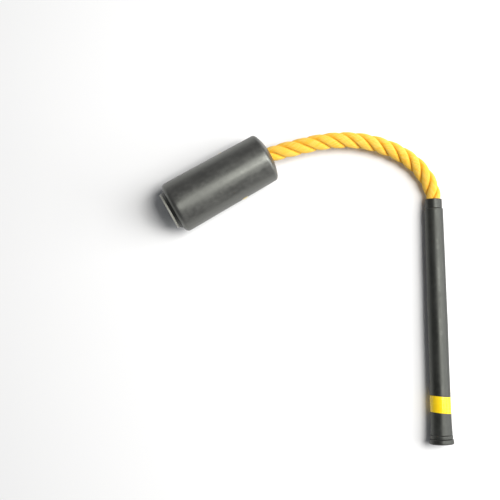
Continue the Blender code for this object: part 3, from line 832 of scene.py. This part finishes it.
# ---- barrel ----------------------------------------------------------------------------------
NEAR_RADIUS, FAR_RADIUS = 32.6 * MM, 34.4 * MM
NOSE, SHOULDER, SHELL_END = 12 * MM, 137 * MM, 143.6 * MM
MIDDLE = 75 * MM
DOME_DEPTH, DOME_POWER = 7 * MM, 2.4
DOME_STEPS = 12
MOUTH_RADIUS, DOME_START, DOME_END = 9.9 * MM, 10.6 * MM, 29.5 * MM
NOSE_ARC, NOSE_ARC_DROP, SHOULDER_ARC = 5.2 * MM, 4.85 * MM, 6 * MM
SHELL_WALL, MOUTH_WALL = 3 * MM, 10 * MM
RIM = 27.3 * MM                     # the far opening's radius
BOLT_AT, BOLT_HEAD, BOLT_SHANK = 56 * MM, 4.4 * MM, 2.2 * MM
BOLT_SEAT = 1.2 * MM                # depth of the flat seat under each head
BOLT_HOLE = 5 * MM                  # how deep the holes under the seats are cut
HEAD_HEIGHT, SOCKET_RADIUS, SOCKET_DEPTH = 1.5 * MM, 1.7 * MM, 1.1 * MM
CUTTER_LENGTH = 8 * MM
PLUG_START, PLATE_RADIUS, PLATE_THICKNESS = 136.3 * MM, 24.5 * MM, 2.4 * MM


def cone_radius(z):
    """The barrel's radius at a distance from its mouth."""
    return NEAR_RADIUS + (FAR_RADIUS - NEAR_RADIUS) * (z - NOSE) / (SHOULDER - NOSE)


def dome_depth(r):
    """How far the nose falls back at a radius."""
    return DOME_DEPTH * (r / NEAR_RADIUS) ** DOME_POWER


def quarter_arc(radius, z, size, start, end, steps):
    """Points on an arc about (radius, z), angles in degrees."""
    made = []
    for i in range(steps + 1):
        angle = math.radians(start + (end - start) * i / steps)
        made.append((radius + size * math.cos(angle), z + size * math.sin(angle), 0))
    return made


def shell_corners():
    """Dome, rounded edge, long slight cone and far shoulder, then back along the inside."""
    corners = [(MOUTH_RADIUS, 0.9 * MM, 0.35 * MM)]
    for i in range(DOME_STEPS + 1):
        r = DOME_START + (DOME_END - DOME_START) * i / DOME_STEPS
        corners.append((r, dome_depth(r), 0))
    corners += quarter_arc(NEAR_RADIUS - NOSE_ARC, dome_depth(DOME_END) + NOSE_ARC_DROP,
                           NOSE_ARC, -60, 0, 8)
    corners += [(cone_radius(MIDDLE), MIDDLE, 0)]
    corners += quarter_arc(FAR_RADIUS - SHOULDER_ARC, SHOULDER, SHOULDER_ARC, 0, 82, 10)
    corners += [(RIM, SHELL_END, 0.3 * MM), (RIM, SHELL_END - 3 * MM, 0),
                (cone_radius(SHOULDER) - SHELL_WALL, SHOULDER, 0),
                (cone_radius(NOSE) - SHELL_WALL, NOSE, 0),
                (cone_radius(NOSE) - SHELL_WALL - 2 * MM, MOUTH_WALL, 0),
                (MOUTH_RADIUS, MOUTH_WALL, 0)]
    return corners


def make_shell(mats):
    """The barrel's body. Its long outer face isn't perfectly true."""
    def shape(r, z, angle):
        if NOSE + 2 * MM < z < SHOULDER - 1 * MM and r > cone_radius(z) - 0.5 * MM:
            r = r + 0.05 * MM * math.sin(3 * angle + z / (30 * MM))
            r = r + 0.04 * MM * math.sin(angle - z / (19 * MM))
        return r, z

    piece = lathe("barrel_body", shell_corners(), BARREL, 192, 3 * MM, shape)
    cut_bolt_seats(piece)
    settle(piece, "barrel", mats["barrel_skin"], "barrel_shell")


def cut_bolt_seats(piece):
    """A flat-bottomed seat and a hole on both sides, cut with one Boolean that is applied."""
    side = cone_radius(BOLT_AT)
    mesh = bpy.data.meshes.new("bolt_cutter")
    shape = bmesh.new()
    for way in (-1, 1):
        for radius, deep in ((BOLT_HEAD + FIT, BOLT_SEAT), (BOLT_SHANK + FIT, BOLT_HOLE)):
            made = bmesh.ops.create_cone(shape, cap_ends=True, segments=64,
                                         depth=CUTTER_LENGTH, radius1=radius, radius2=radius)
            middle = way * (side - deep + CUTTER_LENGTH / 2)
            place = (Matrix.Translation((middle, 0, BOLT_AT))
                     @ Matrix.Rotation(math.radians(90), 4, "Y"))
            bmesh.ops.transform(shape, matrix=place, verts=made["verts"])
    shape.to_mesh(mesh)
    shape.free()
    cutter = bpy.data.objects.new("bolt_cutter", mesh)
    bpy.context.scene.collection.objects.link(cutter)
    cutter.matrix_world = BARREL
    cut = piece.modifiers.new("cut", "BOOLEAN")
    cut.operation = "DIFFERENCE"
    cut.solver = "EXACT"
    cut.use_self = True
    cut.object = cutter
    bpy.context.view_layer.update()
    evaluated = piece.evaluated_get(bpy.context.evaluated_depsgraph_get())
    done = bpy.data.meshes.new_from_object(evaluated)
    piece.modifiers.clear()
    piece.data = done
    bpy.data.objects.remove(cutter)
    done.set_sharp_from_angle(angle=SHARP_ANGLE)


def make_bolt(mats):
    """A low domed head with a hexagon socket at each side of the barrel."""
    side = cone_radius(BOLT_AT)
    seat = side - BOLT_SEAT + FIT
    top = seat + HEAD_HEIGHT

    def socket(r, z, angle):
        if r < 2.3 * MM and z > seat - 0.5 * MM:
            local = (angle % (math.pi / 3)) - math.pi / 6
            r = r * math.cos(math.pi / 6) / math.cos(local)
        return r, z

    head = [(0, top - SOCKET_DEPTH, 0), (SOCKET_RADIUS, top - SOCKET_DEPTH, 0),
            (SOCKET_RADIUS + 0.05 * MM, top, 0.15 * MM), (3.0 * MM, top - 0.12 * MM, 1.5 * MM),
            (BOLT_HEAD, seat + 0.55 * MM, 0.3 * MM), (BOLT_HEAD, seat, 0.1 * MM)]
    screw = head + [(BOLT_SHANK, seat, 0), (BOLT_SHANK, -seat + 0.2 * MM, 0),
                    (0, -seat + 0.2 * MM, 0)]
    nut = head + [(0, seat, 0)]
    for name, corners, turn, node in (("bolt_screw", screw, -90, "cross_bolt"),
                                      ("bolt_cap_nut", nut, 90, "bolt_nut")):
        matrix = (BARREL @ Matrix.Translation((0, 0, BOLT_AT))
                  @ Matrix.Rotation(math.radians(turn), 4, "Y"))
        piece = lathe(name, corners, matrix, 72, 2 * MM, socket, closed=False)
        settle(piece, "barrel", mats["plated_steel"], node)


def make_barrel_end(mats):
    """The plug in the far end and the thin plate on it."""
    plug_radius = RIM - FIT
    plate = BARREL_LENGTH - PLATE_THICKNESS
    plug = [(0, PLUG_START, 0), (plug_radius, PLUG_START, 0.6 * MM),
            (plug_radius, SHELL_END + 0.4 * MM, 0.5 * MM),
            (plug_radius - 2.4 * MM, plate - FIT, 0.5 * MM), (0, plate - FIT, 0)]
    piece = lathe("barrel_end_plug", plug, BARREL, 128, 3 * MM, closed=False)
    settle(piece, "barrel", mats["black_plastic"], "end_plug")
    disc = [(0, plate, 0), (PLATE_RADIUS, plate, 0.35 * MM),
            (PLATE_RADIUS, BARREL_LENGTH, 0.5 * MM), (0, BARREL_LENGTH, 0)]
    piece = lathe("barrel_end_plate", disc, BARREL, 160, 3 * MM, closed=False)
    settle(piece, "barrel", mats["grey_plate"], "end_plate")


def dress_hidden_nodes(mats):
    """Materials for the CAD nodes that stay: the pieces inside the handle and the barrel."""
    finishes = {"handle_core_tube": "black_plastic", "rope_tail_handle": "held_rope",
                "rope_tail_barrel": "held_rope", "tail_whipping": "tape", "rope_pin": "steel",
                "barrel_core": "barrel_rubber", "stopper_washer": "steel",
                "rope_stopper": "steel"}
    for node, finish in finishes.items():
        item = frame["nodes"][node]
        item.data.materials.clear()
        item.data.materials.append(mats[finish])


# ---- stage -----------------------------------------------------------------------------------
FLOOR_HALF = 6.0
FLOOR_DROP = 0.2 * MM               # keeps the floor clear of the pieces that rest on it
SKY_COLOUR, SKY_STRENGTH = (0.92, 0.95, 1.0, 1), 0.16
LIT_MIDDLE = (0.03, -0.02, 0.0)     # where the lights are aimed
LAMPS = (                           # name, place, width, height, power in watts, colour
    ("top_lamp", (0.78, 0.22, 2.12), 0.9, 0.9, 41, (1.0, 0.99, 0.97)),
    ("high_window", (1.29, 0.25, 1.40), 1.2, 0.9, 22, (1, 1, 1)),
    ("low_window", (1.9, 0.0, 0.55), 1.5, 1.0, 20, (1, 1, 1)),
)


def make_floor():
    """A plain pale floor, a little uneven in tone."""
    mesh = bpy.data.meshes.new("floor")
    half = FLOOR_HALF
    mesh.from_pydata([(-half, -half, 0), (half, -half, 0), (half, half, 0), (-half, half, 0)],
                     [], [(0, 1, 2, 3)])
    floor = bpy.data.objects.new("floor", mesh)
    bpy.context.scene.collection.objects.link(floor)
    floor.location.z = -FLOOR_DROP
    paint = Paint("pale_floor", 0.9, Specular_IOR_Level=0.1)
    clouds = paint.noise(3.0, 2.0)
    colour = paint.mix(clouds, (0.84, 0.84, 0.84), (0.86, 0.86, 0.86))
    mesh.materials.append(paint.finish(colour))


def area_light(name, place, width, height, power, colour):
    """A soft rectangular light that the camera doesn't see."""
    data = bpy.data.lights.new(name, "AREA")
    data.shape = "RECTANGLE"
    data.size = width
    data.size_y = height
    data.energy = power
    data.color = colour
    light = bpy.data.objects.new(name, data)
    bpy.context.scene.collection.objects.link(light)
    light.location = place
    way = Vector(LIT_MIDDLE) - Vector(place)
    light.rotation_euler = way.to_track_quat("-Z", "Y").to_euler()
    light.visible_camera = False


def make_lights():
    """A dim pale sky and three soft lights from the right."""
    world = bpy.data.worlds.new("studio")
    bpy.context.scene.world = world
    world.use_nodes = True
    background = world.node_tree.nodes["Background"]
    background.inputs["Color"].default_value = SKY_COLOUR
    background.inputs["Strength"].default_value = SKY_STRENGTH
    for lamp in LAMPS:
        area_light(*lamp)
    bpy.context.scene.view_settings.view_transform = "Standard"


# ---- everything ------------------------------------------------------------------------------
def main():
    """Builds everything."""
    make_camera()
    mats = make_materials()
    make_rope(mats["yellow_rope"])
    make_grip(mats)
    make_band(mats)
    make_butt(mats)
    make_ferrule(mats)
    make_shell(mats)
    make_bolt(mats)
    make_barrel_end(mats)
    dress_hidden_nodes(mats)
    make_floor()
    make_lights()


main()
